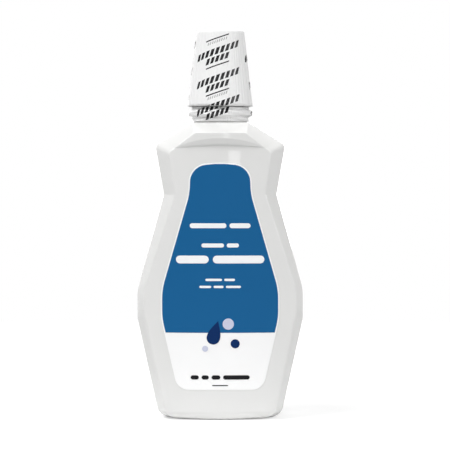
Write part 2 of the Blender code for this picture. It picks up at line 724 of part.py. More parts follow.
def film_on_panel(name, side, stand_off, thickness, finish, facing=-1.0):
    """A thin sheet that follows the label panel, between a side edge and its mirror image."""
    bm = bmesh.new()
    rows = []
    shares = COLUMN_SHARES[:-1]
    across = [1.0, *shares, 0.0, *[-s for s in reversed(shares)], -1.0]
    for p in side:
        bow = LABEL_TOP_BOW * max(0.0, (p.y - LABEL_WAIST_HEIGHT) / (side[0].y - LABEL_WAIST_HEIGHT))
        row = []
        for share in across:
            x = p.x * share
            height = p.y + bow * (1 - share * share)
            row.append(bm.verts.new((x, facing * (panel_depth(x) + stand_off), height)))
        rows.append(row)
    for above, below in zip(rows, rows[1:]):
        for i in range(len(above) - 1):
            bm.faces.new((above[i], below[i], below[i + 1], above[i + 1]))
    bm.normal_update()
    outward = Vector((0.0, facing, 0.0))
    for face in bm.faces:
        if face.normal.dot(outward) < 0.0:
            face.normal_flip()
    made = add_object(name, bm, finish)
    skin = made.modifiers.new("thickness", "SOLIDIFY")
    skin.thickness = thickness
    skin.offset = 1.0
    skin.use_even_offset = True
    return made


def build():
    """Makes every piece and hangs the cap's pieces on the axis of its thread."""
    clear_scene()
    white = material("bottle_white", (0.83, 0.83, 0.82), 0.22)
    shell_white = material("cap_white", (0.85, 0.85, 0.84), 0.35)
    natural = material("cup_natural", (0.78, 0.82, 0.84), 0.3)
    washer = material("seal_foam", (0.72, 0.76, 0.80), 0.8)
    rinse = material("rinse", (0.35, 0.72, 0.78), 0.05)
    film = material("band_film", (0.86, 0.86, 0.86), 0.18)
    label_white = material("label_white", (0.95, 0.95, 0.95), 0.3)
    label_blue = material("label_blue", (0.0103, 0.117, 0.296), 0.3)

    make_bottle(white)
    make_mouthwash(rinse)
    make_band_lower(film)
    film_on_panel("front_label", label_side(), FIT_GAP, LABEL_FILM, label_white)
    film_on_panel("front_label_print", print_side(), 2 * FIT_GAP + LABEL_FILM, PRINT_FILM, label_blue)
    film_on_panel("back_label", label_side(), FIT_GAP, LABEL_FILM, label_white, facing=1.0)

    cap_axis = bpy.data.objects.new("cap_axis", None)
    bpy.context.scene.collection.objects.link(cap_axis)
    for piece in (
        make_seal_ring(washer),
        make_dosing_cup(natural),
        make_cap_shell(shell_white),
        make_band_upper(film),
    ):
        piece.parent = cap_axis


build()
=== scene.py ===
# %% [markdown]
# # A mouthwash bottle, dressed for the camera
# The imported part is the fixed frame. Its solids have the right sizes and move on the right joints, and
# this lesson puts finer surfaces and real finishes on them. Everything is in metres, +Z is up, and the
# front of the bottle faces -Y.

import json
import math

import bmesh
import bpy
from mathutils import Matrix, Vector

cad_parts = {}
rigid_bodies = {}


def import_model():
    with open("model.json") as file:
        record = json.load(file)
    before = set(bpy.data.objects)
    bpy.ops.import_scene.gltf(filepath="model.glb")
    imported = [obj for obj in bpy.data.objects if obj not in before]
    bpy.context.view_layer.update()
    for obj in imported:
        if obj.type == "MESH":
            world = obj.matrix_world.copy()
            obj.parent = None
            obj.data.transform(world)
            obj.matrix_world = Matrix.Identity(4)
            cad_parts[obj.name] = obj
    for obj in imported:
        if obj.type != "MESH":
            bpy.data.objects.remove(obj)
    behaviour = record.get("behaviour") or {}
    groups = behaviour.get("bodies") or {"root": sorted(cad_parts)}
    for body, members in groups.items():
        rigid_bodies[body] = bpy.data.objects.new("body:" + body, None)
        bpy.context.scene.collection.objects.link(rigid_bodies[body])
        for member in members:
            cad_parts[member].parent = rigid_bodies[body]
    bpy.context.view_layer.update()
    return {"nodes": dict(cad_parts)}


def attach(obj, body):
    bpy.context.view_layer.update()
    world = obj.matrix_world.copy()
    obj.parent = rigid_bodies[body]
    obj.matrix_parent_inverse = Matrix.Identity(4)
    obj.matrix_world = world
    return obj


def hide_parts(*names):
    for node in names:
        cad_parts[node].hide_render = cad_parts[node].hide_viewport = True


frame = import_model()

# %% [markdown]
# ## Small helpers
# Each piece is made in a bmesh, which is Blender's editable mesh. This helper turns it into an object,
# has its faces point outwards, shades it smooth and hangs it on the body that it moves with. It also
# puts the piece's finish in its material slot, and hides the solid of the frame that the piece stands for.

# %% From a bmesh to a piece
MM = 0.001


def new_object(name, data):
    thing = bpy.data.objects.new(name, data)
    bpy.context.scene.collection.objects.link(thing)
    return thing


def add_piece(name, bm, finish, body, stands_for=None):
    bmesh.ops.recalc_face_normals(bm, faces=bm.faces)
    mesh = bpy.data.meshes.new(name)
    bm.to_mesh(mesh)
    bm.free()
    mesh.materials.append(finish)
    mesh.shade_smooth()
    piece = new_object(name, mesh)
    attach(piece, body)
    if stands_for:
        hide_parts(stands_for)
    return piece


def smooth_more(piece, levels):
    rounding = piece.modifiers.new("rounding", "SUBSURF")
    rounding.levels = levels
    rounding.render_levels = levels


# %% [markdown]
# A finish is a small net of nodes. The helper makes a Principled material with its plain numbers set on
# the sockets, and gives back the net, so that a pattern can be plugged in where the surface has one.

# %% A new finish
def new_finish(name, colour, roughness, specular=0.5):
    finish = bpy.data.materials.new(name)
    finish.use_nodes = True
    shader = finish.node_tree.nodes["Principled BSDF"]
    shader.inputs["Base Color"].default_value = (*colour, 1.0)
    shader.inputs["Roughness"].default_value = roughness
    shader.inputs["Specular IOR Level"].default_value = specular
    return finish


def add_grain(finish, scale, height, strength, stretch=(1.0, 1.0, 1.0), uv=False):
    """A noise on the surface, as a shallow bump. The stretch makes it longer one way."""
    nodes = finish.node_tree.nodes
    links = finish.node_tree.links
    place = nodes.new("ShaderNodeTexCoord")
    turn = nodes.new("ShaderNodeMapping")
    turn.inputs["Scale"].default_value = stretch
    noise = nodes.new("ShaderNodeTexNoise")
    noise.inputs["Scale"].default_value = scale
    noise.inputs["Detail"].default_value = 3.0
    bump = nodes.new("ShaderNodeBump")
    bump.inputs["Strength"].default_value = strength
    bump.inputs["Distance"].default_value = height
    links.new(place.outputs["UV" if uv else "Object"], turn.inputs["Vector"])
    links.new(turn.outputs["Vector"], noise.inputs["Vector"])
    links.new(noise.outputs["Fac"], bump.inputs["Height"])
    links.new(bump.outputs["Normal"], nodes["Principled BSDF"].inputs["Normal"])


# %% [markdown]
# ## The finish of the bottle
# The body is blow-moulded polyethylene: opaque, white and glossy. The mould leaves it very slightly wavy,
# which is one wide and shallow bump.

# %% White blown plastic
BOTTLE_COLOUR = (0.775, 0.775, 0.765)
bottle_white = new_finish("bottle white", BOTTLE_COLOUR, roughness=0.035)
add_grain(bottle_white, scale=45.0, height=0.05 * MM, strength=0.08)

# %% [markdown]
# ## The body
# The real body is blown inside a mould, so every edge is soft. Its front has an outline with a platform,
# sloping shoulders, a waist, a wide hip and a foot, and a chamfer of changing width runs round it.
# A bevelled box can't have such a chamfer. So the body is a loft: one loop is extruded from the
# platform down to the base, and moved to the section that the body has at each height.

# %% Sizes of the body
PLATFORM_HEIGHT = 191.0 * MM
PLATFORM_HALF_WIDTH = 17.9 * MM
SHOULDER_HEIGHT = 176.2 * MM
SHOULDER_HALF_WIDTH = 41.8 * MM
WAIST_HEIGHT = 144.7 * MM
WAIST_HALF_WIDTH = 36.3 * MM
HIP_TOP_HEIGHT = 83.5 * MM
HIP_FOOT_HEIGHT = 65.0 * MM
HIP_HALF_WIDTH = 53.3 * MM
FOOT_HALF_WIDTH = 38.9 * MM
PANEL_TOP_HALF_WIDTH = 17.0 * MM
PANEL_TOP_HEIGHT = 184.0 * MM
PANEL_SHOULDER_HALF_WIDTH = 32.9 * MM
PANEL_SHOULDER_HEIGHT = 171.4 * MM
PANEL_WAIST_HALF_WIDTH = 29.1 * MM
PANEL_HIP_HALF_WIDTH = 49.2 * MM
PANEL_HIP_FOOT_HEIGHT = 69.1 * MM
PANEL_FOOT_HALF_WIDTH = 34.1 * MM
CORNER_RADII = (1.5 * MM, 3.5 * MM, 2.0 * MM, 30.0 * MM, 30.0 * MM)
RIM_HALF_DEPTH = 21.5 * MM
RIM_CROWN = 0.6 * MM
RIM_CREASE = 2.6 * MM
PANEL_CREASE = 1.8 * MM
SHOULDER_HALF_DEPTH = 35.3 * MM
SHOULDER_BOW_RADIUS = 110.0 * MM
PANEL_BOW_RADIUS = 250.0 * MM
LEDGE_END_SHARE = 0.80
LEDGE_FADE_HEIGHT = 155.0 * MM
WALL = 1.1 * MM

# %% [markdown]
# A corner of the mould is an arc, not a point. The points of the arc are weighted means of the corner and
# of the two places where the arc leaves its sides, and one function rounds the corners of the outline
# and the long creases alike. The room is the share of a side that one arc may take up.

# %% Rounding a corner
ARC_STEPS = 4


def fillet(before, corner, after, radius, steps=ARC_STEPS, room=0.5):
    back = before - corner
    on = after - corner
    half_angle = back.angle(on) / 2
    reach = min(radius / math.tan(half_angle), back.length * room, on.length * room)
    start = corner + back.normalized() * reach
    end = corner + on.normalized() * reach
    points = []
    for i in range(steps + 1):
        t = i / steps
        pull = 2 * t * (1 - t) * math.sin(half_angle)
        weights = (1 - t) ** 2 + pull + t ** 2
        points.append((start * (1 - t) ** 2 + corner * pull + end * t ** 2) / weights)
    return points


def rounded_outline(corners, shares):
    arcs = []
    for i in range(1, len(corners) - 1):
        arcs.append(fillet(corners[i - 1], corners[i], corners[i + 1], CORNER_RADII[i - 1]))
    points = []
    for i, arc in enumerate(arcs):
        end = arcs[i + 1][0] if i + 1 < len(arcs) else corners[-1]
        points += arc + [arc[-1].lerp(end, share) for share in shares[i]]
    return points


# %% [markdown]
# Two outlines run side by side down the front: the rim, where the chamfer meets the side wall, and the
# edge of the front panel, where the chamfer meets the front. Extra stations stand close together at the
# arched ledge. It starts with a sharp edge, is steepest at its foot, and runs out in a hollow below that.

# %% The two outlines, and the stations on them
ABOVE_LEDGE = (0.25, 0.5, 0.68, 0.745)
# Each row of the ledge: its share of the way down the edge, the height of its middle, and how far in it is
LEDGE_ROWS = (
    (0.757, 180.75 * MM, 0.0),
    (0.763, 180.55 * MM, 0.03),
    (0.790, 178.85 * MM, 0.20),
    (0.812, 177.30 * MM, 0.37),
    (0.820, 176.70 * MM, 0.45),
    (0.828, 176.25 * MM, 0.75),
    (0.836, 175.95 * MM, 0.90),
    (0.852, 175.30 * MM, 0.945),
    (0.885, 174.20 * MM, 0.975),
)
SIDE_STATIONS = (0.25, 0.5, 0.75)
FLANK_STATIONS = (0.12, 0.3, 0.5, 0.7, 0.88)
HEEL_HEIGHT = 6.5 * MM

rim_corners = [
    Vector((0.0, PLATFORM_HEIGHT)),
    Vector((PLATFORM_HALF_WIDTH, PLATFORM_HEIGHT)),
    Vector((SHOULDER_HALF_WIDTH, SHOULDER_HEIGHT)),
    Vector((WAIST_HALF_WIDTH, WAIST_HEIGHT)),
    Vector((HIP_HALF_WIDTH, HIP_TOP_HEIGHT)),
    Vector((HIP_HALF_WIDTH, HIP_FOOT_HEIGHT)),
    Vector((FOOT_HALF_WIDTH, 0.0)),
]
panel_corners = [
    Vector((0.0, PANEL_TOP_HEIGHT)),
    Vector((PANEL_TOP_HALF_WIDTH, PANEL_TOP_HEIGHT)),
    Vector((PANEL_SHOULDER_HALF_WIDTH, PANEL_SHOULDER_HEIGHT)),
    Vector((PANEL_WAIST_HALF_WIDTH, WAIST_HEIGHT)),
    Vector((PANEL_HIP_HALF_WIDTH, HIP_TOP_HEIGHT)),
    Vector((PANEL_HIP_HALF_WIDTH, PANEL_HIP_FOOT_HEIGHT)),
    Vector((PANEL_FOOT_HALF_WIDTH, 0.0)),
]
slope_shares = ABOVE_LEDGE + tuple(row[0] for row in LEDGE_ROWS)
station_shares = [slope_shares, SIDE_STATIONS, FLANK_STATIONS, (0.5,), FLANK_STATIONS[:-1]]
rim_line = rounded_outline(rim_corners, station_shares)
panel_line = rounded_outline(panel_corners, station_shares)
stations = list(zip(rim_line, panel_line))
ledge_end = panel_corners[1].lerp(panel_corners[2], LEDGE_END_SHARE)
ledge_top = ARC_STEPS + 1 + len(ABOVE_LEDGE)
ledge_foot = ledge_top + len(LEDGE_ROWS) - 1
print("stations down the body:", len(stations), "of which the ledge has", len(LEDGE_ROWS))

# %% [markdown]
# The front bulges a little. Above the ledge it bulges more, and below it the label panel is flatter and
# lies deeper, so the step between the two is widest in the middle and runs out at its ends.

# %% How deep the front is
def shoulder_depth(x):
    return SHOULDER_HALF_DEPTH - x * x / (2 * SHOULDER_BOW_RADIUS)


def panel_depth(x):
    recess = ledge_end.x ** 2 / 2 * (1 / SHOULDER_BOW_RADIUS - 1 / PANEL_BOW_RADIUS)
    return SHOULDER_HALF_DEPTH - recess - x * x / (2 * PANEL_BOW_RADIUS)


def depth_part_way(way_in):
    """The depth inside the step, from the shoulder at 0 to the panel at 1."""
    return lambda x: shoulder_depth(x) + (panel_depth(x) - shoulder_depth(x)) * way_in


def middle_and_way_in(i):
    """The height of the middle of a row, and how far in it is."""
    edge = panel_line[i]
    first, last = LEDGE_ROWS[0], LEDGE_ROWS[-1]
    if i < ledge_top:
        done = (PANEL_TOP_HEIGHT - edge.y) / (PANEL_TOP_HEIGHT - panel_line[ledge_top].y)
        return PANEL_TOP_HEIGHT + (first[1] - PANEL_TOP_HEIGHT) * done, 0.0
    if i <= ledge_foot:
        return LEDGE_ROWS[i - ledge_top][1:]
    foot = panel_line[ledge_foot].y
    left = max(0.0, (edge.y - LEDGE_FADE_HEIGHT) / (foot - LEDGE_FADE_HEIGHT))
    return edge.y + (last[1] - foot) * left, 1.0


# %% [markdown]
# One section of the body is a closed loop. Only its front right quarter is worked out, from the middle
# of the side to the middle of the front, and the other three are its mirror images.

# %% One section of the body
SIDE_COLUMNS = (0.0, 0.35, 0.7, 0.88)
FRONT_COLUMNS = (0.94, 0.85, 0.7, 0.55, 0.4, 0.25, 0.12, 0.0)


def mirrored(quarter):
    across = [Vector((-p.x, p.y, p.z)) for p in quarter]
    behind = [Vector((p.x, -p.y, p.z)) for p in quarter]
    opposite = [Vector((-p.x, -p.y, p.z)) for p in quarter]
    return quarter + across[-2::-1] + opposite[1:] + behind[-2:0:-1]


def section(rim_point, edge, depth, bow):
    quarter = []
    for share in SIDE_COLUMNS:
        crown = RIM_CROWN * (1 - share * share)
        quarter.append(Vector((rim_point.x + crown, -RIM_HALF_DEPTH * share, rim_point.y)))
    rim = Vector((rim_point.x, -RIM_HALF_DEPTH, rim_point.y))
    crease = Vector((edge.x, -depth(edge.x), edge.y))
    row = []
    for share in FRONT_COLUMNS:
        x = edge.x * share
        row.append(Vector((x, -depth(x), edge.y + bow * (1 - share * share))))
    quarter += fillet(quarter[-1], rim, crease, RIM_CREASE)
    quarter += fillet(rim, crease, row[1], PANEL_CREASE)
    return mirrored(quarter + row[1:])


# %% [markdown]
# The foot turns under in a rounded heel onto an oval ring, which is what the bottle stands on. Inside
# the ring the base is pushed up, so that the bottle doesn't rock.

# %% Heel, standing ring and raised base
BASE_HALF_WIDTH = 36.6 * MM
BASE_HALF_DEPTH = 28.0 * MM
RING_WIDTH = 4.2 * MM
PUSH_UP = 4.2 * MM
PUSH_UP_SLOPE = 5.0 * MM
PUSH_UP_BEND = 0.6
HEEL_TURNS_DEG = (0.0, 12.0, 25.0, 38.0, 52.0, 66.0, 80.0, 90.0)


def on_oval(p, inset, height):
    angle = math.atan2(p.y / BASE_HALF_DEPTH, p.x / BASE_HALF_WIDTH)
    across = (BASE_HALF_WIDTH - inset) * math.cos(angle)
    deep = (BASE_HALF_DEPTH - inset) * math.sin(angle)
    return Vector((across, deep, height))


def heel_sections():
    hip_rim, hip_edge = stations[-len(FLANK_STATIONS)]
    loops = []
    for turn in HEEL_TURNS_DEG:
        height = HEEL_HEIGHT * (1 - math.sin(math.radians(turn)))
        rim_point = rim_corners[-1].lerp(hip_rim, height / hip_rim.y)
        edge = panel_corners[-1].lerp(hip_edge, height / hip_edge.y)
        straight = section(rim_point, edge, panel_depth, 0.0)
        keep = math.cos(math.radians(turn))
        loops.append([on_oval(p, 0.0, height).lerp(p, keep) for p in straight])
    ring = loops[-1]
    loops.append([on_oval(p, RING_WIDTH / 2, 0.0) for p in ring])
    loops.append([on_oval(p, RING_WIDTH, 0.0) for p in ring])
    loops.append([on_oval(p, RING_WIDTH + PUSH_UP_SLOPE / 2, PUSH_UP * PUSH_UP_BEND) for p in ring])
    loops.append([on_oval(p, RING_WIDTH + PUSH_UP_SLOPE, PUSH_UP) for p in ring])
    loops.append([on_oval(p, RING_WIDTH + 2 * PUSH_UP_SLOPE, PUSH_UP) for p in ring])
    return loops


# %% [markdown]
# At the top, the sections end in a flat platform. Its inner loop is round, because the neck stands there.

# %% Platform round the neck
NECK_HOLE_RADIUS = 16.0 * MM
PLATFORM_EDGE = 0.9 * MM


def platform_sections(first):
    hole = []
    inside = []
    edge = []
    for p in first:
        flat = Vector((p.x, p.y, 0.0))
        share = min(1.0, RIM_HALF_DEPTH / max(abs(flat.y), MM))
        reach = flat.length * share - PLATFORM_EDGE
        lift = Vector((0.0, 0.0, PLATFORM_HEIGHT))
        hole.append(flat.normalized() * NECK_HOLE_RADIUS + lift)
        edge.append(flat.normalized() * reach + lift)
        inside.append(flat.normalized() * (reach - PLATFORM_EDGE) + lift)
    return [hole, inside, edge]


# %% [markdown]
# Now the loft itself. It starts as a circle with one corner for each point of a section. Each time its
# edge is extruded, the new corners are moved to the next section. A dictionary keeps which corner is
# which. The last loop is closed with a face, and so is the first one if the piece has no opening there.

# %% Extruding the loop down the body
def loft(sections, close_start=False):
    bm = bmesh.new()
    circle = bmesh.ops.create_circle(bm, segments=len(sections[0]), radius=1.0)["verts"]
    place_of = {v: i for i, v in enumerate(circle)}
    for v, i in place_of.items():
        v.co = sections[0][i]
    edges = list(dict.fromkeys(edge for v in circle for edge in v.link_edges))
    first_edges = edges
    for points in sections[1:]:
        grown = bmesh.ops.extrude_edge_only(bm, edges=edges)["geom"]
        fresh = [item for item in grown if isinstance(item, bmesh.types.BMVert)]
        next_place = {}
        for v in fresh:
            old = next(e.other_vert(v) for e in v.link_edges if e.other_vert(v) in place_of)
            next_place[v] = place_of[old]
        for v, i in next_place.items():
            v.co = points[i]
        place_of = next_place
        edges = [item for item in grown if isinstance(item, bmesh.types.BMEdge)
                 and item.verts[0] in place_of and item.verts[1] in place_of]
    bmesh.ops.edgeloop_fill(bm, edges=edges)
    if close_start:
        bmesh.ops.edgeloop_fill(bm, edges=first_edges)
    return bm


body_sections = []
for i, (rim_point, edge) in enumerate(stations):
    middle, way_in = middle_and_way_in(i)
    body_sections.append(section(rim_point, edge, depth_part_way(way_in), middle - edge.y))
body_sections += heel_sections()
body_sections = platform_sections(body_sections[0]) + body_sections
body = add_piece("bottle_body", loft(body_sections), bottle_white, "bottle", "bottle")
wall = body.modifiers.new("wall", "SOLIDIFY")
wall.thickness = WALL
wall.offset = -1.0
wall.use_even_offset = True
smooth_more(body, 1)
print("sections:", len(body_sections), "points in each:", len(body_sections[0]))

# %% [markdown]
# ## The neck
# The neck is turned: half its section is drawn beside the axis and spun once round it. The same helper
# turns the cap and the shrink film. A profile that touches the axis closes there by itself.

# %% Turning a profile
WELD = 0.001 * MM


def turned(profile, segments, closed=True):
    bm = bmesh.new()
    corners = [bm.verts.new((radius, 0.0, height)) for radius, height in profile]
    edges = [bm.edges.new(pair) for pair in zip(corners, corners[1:])]
    if closed:
        edges.append(bm.edges.new((corners[-1], corners[0])))
    bmesh.ops.spin(bm, geom=corners + edges, axis=(0.0, 0.0, 1.0), cent=(0.0, 0.0, 0.0),
                   angle=2 * math.pi, steps=segments, use_merge=True)
    bmesh.ops.remove_doubles(bm, verts=bm.verts, dist=WELD)
    return bm


def rounded_profile(corners, radius, steps=3):
    """Rounds every corner of a closed profile but the ones on the axis."""
    points = []
    count = len(corners)
    for i in range(count):
        here = Vector(corners[i])
        if here.x == 0.0:
            points.append(here)
            continue
        before = Vector(corners[i - 1])
        after = Vector(corners[(i + 1) % count])
        points += fillet(before, here, after, radius, steps)
    return [tuple(p) for p in points]


# %% [markdown]
# The neck has a bead, which holds the foot of the shrink film, and a lip that the seal ring presses on.

# %% Neck with its bead
NECK_HEIGHT = 23.0 * MM
NECK_RADIUS = 15.1 * MM
NECK_FOOT_RADIUS = 17.5 * MM
BORE_RADIUS = 13.0 * MM
BEAD_RADIUS = 20.0 * MM
BEAD_FOOT_HEIGHT = 196.1 * MM
BEAD_THICKNESS = 2.6 * MM
NECK_ROUND = 0.5 * MM
NECK_SEGMENTS = 128
LIP_HEIGHT = PLATFORM_HEIGHT + NECK_HEIGHT
BEAD_TOP_HEIGHT = BEAD_FOOT_HEIGHT + BEAD_THICKNESS
bead_slope = (BEAD_RADIUS - NECK_FOOT_RADIUS) / 2

neck_corners = [
    (BORE_RADIUS, PLATFORM_HEIGHT - WALL),
    (NECK_FOOT_RADIUS, PLATFORM_HEIGHT - WALL / 2),
    (NECK_FOOT_RADIUS, BEAD_FOOT_HEIGHT - bead_slope),
    (BEAD_RADIUS, BEAD_FOOT_HEIGHT),
    (BEAD_RADIUS, BEAD_TOP_HEIGHT),
    (NECK_RADIUS, BEAD_TOP_HEIGHT),
    (NECK_RADIUS, LIP_HEIGHT),
    (BORE_RADIUS, LIP_HEIGHT),
]
neck = turned(rounded_profile(neck_corners, NECK_ROUND), NECK_SEGMENTS)
add_piece("bottle_neck", neck, bottle_white, "bottle", "bottle")

# %% [markdown]
# The screw thread is a small ridge that climbs as it goes round. Spin can do that too: its dvec moves
# each step along the axis by a share of the pitch. The two ends are closed with a face.

# %% Thread on the neck
THREAD_PITCH = 4.23 * MM
THREAD_HEIGHT = 1.1 * MM
THREAD_HALF_ROOT = 1.1 * MM
THREAD_HALF_CREST = 0.5 * MM
THREAD_SINK = 0.4 * MM
THREAD_TURNS = 2.0
THREAD_STEPS_PER_TURN = 96
THREAD_BELOW_LIP = 1.6 * MM
thread_start = LIP_HEIGHT - THREAD_BELOW_LIP - THREAD_TURNS * THREAD_PITCH


def neck_thread():
    bm = bmesh.new()
    outline = [
        (NECK_RADIUS - THREAD_SINK, -THREAD_HALF_ROOT),
        (NECK_RADIUS + THREAD_HEIGHT, -THREAD_HALF_CREST),
        (NECK_RADIUS + THREAD_HEIGHT, THREAD_HALF_CREST),
        (NECK_RADIUS - THREAD_SINK, THREAD_HALF_ROOT),
    ]
    corners = [bm.verts.new((r, 0.0, thread_start + z)) for r, z in outline]
    start_face = bm.faces.new(corners)
    steps = round(THREAD_TURNS * THREAD_STEPS_PER_TURN)
    bmesh.ops.spin(bm, geom=[start_face], axis=(0.0, 0.0, 1.0), cent=(0.0, 0.0, 0.0),
                   angle=2 * math.pi * THREAD_TURNS, steps=steps,
                   dvec=(0.0, 0.0, THREAD_PITCH / THREAD_STEPS_PER_TURN))
    return bm


add_piece("bottle_thread", neck_thread(), bottle_white, "bottle", "bottle")

# %% [markdown]
# ## The cap
# The cap's outer shell is a tall tapered cover with a rounded top edge. Its outer line is drawn at a gap
# from the shell, because the film follows the same line.

# %% Outer line of the cap
SHELL_FOOT_HEIGHT = BEAD_TOP_HEIGHT + 3.0 * MM
SHELL_HEIGHT = 49.3 * MM
SHELL_TOP_HEIGHT = SHELL_FOOT_HEIGHT + SHELL_HEIGHT
SHELL_FOOT_RADIUS = 20.7 * MM
SHELL_TOP_RADIUS = 15.1 * MM
SHELL_WALL = 1.2 * MM
SHELL_TOP_ROUND = 1.8 * MM
SIDE_STEPS = 24
TOP_STEPS = 8


def shell_radius(height):
    share = (height - SHELL_FOOT_HEIGHT) / SHELL_HEIGHT
    return SHELL_FOOT_RADIUS + (SHELL_TOP_RADIUS - SHELL_FOOT_RADIUS) * share


def rounded_top(gap):
    """The outer line of the cap at a gap from the shell, from the foot up to the flat top."""
    line = []
    rounding = SHELL_TOP_ROUND + gap
    round_start = SHELL_TOP_HEIGHT - SHELL_TOP_ROUND
    for i in range(SIDE_STEPS + 1):
        height = SHELL_FOOT_HEIGHT + (round_start - SHELL_FOOT_HEIGHT) * i / SIDE_STEPS
        line.append((shell_radius(height) + gap, height))
    centre = shell_radius(round_start) + gap - rounding
    for i in range(1, TOP_STEPS + 1):
        angle = math.pi / 2 * i / TOP_STEPS
        line.append((centre + rounding * math.cos(angle), round_start + rounding * math.sin(angle)))
    return line


# %% [markdown]
# The shell is moulded with fine upright ribs, which show through the film. They are a ripple in the
# radius, because they are real relief and not paint.

# %% Cap shell with its ribs
RIBS = 60
CAP_SEGMENTS = 4 * RIBS
RIB_RIPPLE = 0.09 * MM
CAP_WHITE = (0.82, 0.82, 0.81)


def ripple(bm, move_at):
    """Moves points out from the axis, by what the rule says for their angle and height."""
    for v in bm.verts:
        radius = math.hypot(v.co.x, v.co.y)
        if radius > MM:
            share = 1 + move_at(math.atan2(v.co.y, v.co.x), v.co.z) / radius
            v.co.x *= share
            v.co.y *= share


def rib(angle, height):
    return RIB_RIPPLE * math.cos(RIBS * angle)


cap_white = new_finish("cap white", CAP_WHITE, roughness=0.32)
add_grain(cap_white, scale=160.0, height=0.03 * MM, strength=0.3)
outside = rounded_top(0.0)
ceiling = SHELL_TOP_HEIGHT - SHELL_WALL
inside = [(0.0, ceiling), (shell_radius(ceiling) - SHELL_WALL, ceiling),
          (shell_radius(SHELL_FOOT_HEIGHT) - SHELL_WALL, SHELL_FOOT_HEIGHT)]
shell = turned(inside + outside + [(0.0, SHELL_TOP_HEIGHT)], CAP_SEGMENTS, closed=False)
ripple(shell, rib)
add_piece("cap_shell_cover", shell, cap_white, "cap", "cap_shell")

# %% [markdown]
# ## The shrink film
# A printed sleeve is shrunk over the whole cap and on over the bead of the neck. Along the foot of the
# cap it is perforated. Shrinking draws it tight, and it gathers in uneven upright pleats. Ripples whose
# counts have no common factor never look regular together, so the sum of four makes the pleats.

# %% How the film ripples
FILM = 0.2 * MM
FIT_GAP = 0.3 * MM
# Each ripple: its count round the cap, its size, and the angle at which it starts
PLEATS = ((11, 0.05 * MM, 0.7), (29, 0.05 * MM, 2.1), (53, 0.06 * MM, 4.0), (71, 0.05 * MM, 1.3))
PLEAT_SWAY = 40.0
SWAYS_ROUND = 3


def pleat(angle, height):
    wave = 0.0
    for count, size, phase in PLEATS:
        sway = PLEAT_SWAY * height * math.sin(SWAYS_ROUND * angle + phase)
        wave += size * math.cos(count * angle + phase + sway)
    return wave


# %% [markdown]
# The print on the film comes in blocks, three of them round the cap. So each third of the film gets its
# own part of a UV map, rolled flat round its middle: U is the way round in millimetres, counted from the
# middle of the block, and V is the height in millimetres.

# %% Rolling the film flat for its UV map
BLOCKS_ROUND = 3
BLOCK_ANGLE = 2 * math.pi / BLOCKS_ROUND
BLOCK_WIDTH = 60.0


def unroll(bm):
    layer = bm.loops.layers.uv.new("rolled flat")
    for face in bm.faces:
        middle = face.calc_center_median()
        block = round(math.atan2(middle.x, -middle.y) / BLOCK_ANGLE)
        for loop in face.loops:
            place = loop.vert.co
            angle = math.atan2(place.x, -place.y) - block * BLOCK_ANGLE
            if angle < -math.pi:
                angle += 2 * math.pi
            if angle > math.pi:
                angle -= 2 * math.pi
            way_round = angle * math.hypot(place.x, place.y) / MM
            loop[layer].uv = (block * BLOCK_WIDTH + way_round, place.z / MM)


# %% [markdown]
# The pattern on the film is plain: slanting rows of strokes that rise to the right. It is drawn by maths
# nodes, so it is sharp at any size. Each row is a range of the distance across the slant, and each stroke
# a range of the distance along it. The result is a factor between two colours.

# %% Nodes that compare and combine
WHOLE_PERIODS = 100


def maths(net, operation, *values):
    node = net.nodes.new("ShaderNodeMath")
    node.operation = operation
    for socket, value in zip(node.inputs, values):
        if isinstance(value, (int, float)):
            socket.default_value = value
        else:
            net.links.new(value, socket)
    return node.outputs[0]


def within(net, value, low, high):
    return maths(net, "COMPARE", value, (low + high) / 2, (high - low) / 2)


def repeated(net, value, period):
    """The value counted from the middle of its own period. The whole periods keep it above zero."""
    periods = maths(net, "ADD", maths(net, "DIVIDE", value, period), WHOLE_PERIODS + 0.5)
    part = maths(net, "FRACT", periods)
    return maths(net, "MULTIPLY", maths(net, "SUBTRACT", part, 0.5), period)


def colour_between(net, factor, first, second):
    """Gives the surface a mix of two colours, by a factor that changes over it."""
    mix = net.nodes.new("ShaderNodeMix")
    mix.data_type = "RGBA"
    mix.inputs["A"].default_value = (*first, 1.0)
    mix.inputs["B"].default_value = (*second, 1.0)
    net.links.new(factor, mix.inputs["Factor"])
    net.links.new(mix.outputs["Result"], net.nodes["Principled BSDF"].inputs["Base Color"])


# %% [markdown]
# A block has a tall row, a lower row and a thin rule, and every second block has a grey row of dots as
# well. The rows repeat down the film, between two limits that slant like the rows. The strokes of the two
# tall rows are bold and lean to the right. A stroke leans where its place along the row is moved by the
# height above the row's middle.

# %% Rows of strokes
RISE = 0.34
ROW_PERIOD = 17.6
TOP_ROW = 237.4
PRINT_SHIFT = -1.9
PRINT_FOOT = 194.6
PRINT_TOP = 246.6
LEAN = 0.35
# Each row: its place above the tall row, half height, half length, the period and the width of its
# strokes, its darkness, and how many block heights pass before it comes again
ROWS = (
    (0.0, 2.1, 15.3, 3.4, 2.3, 1.0, 1),
    (-5.1, 1.9, 7.9, 3.16, 2.15, 1.0, 1),
    (-9.3, 0.42, 7.7, 20.0, 20.0, 1.0, 1),
    (6.2, 0.85, 7.1, 1.5, 0.75, 0.5, 2),
)


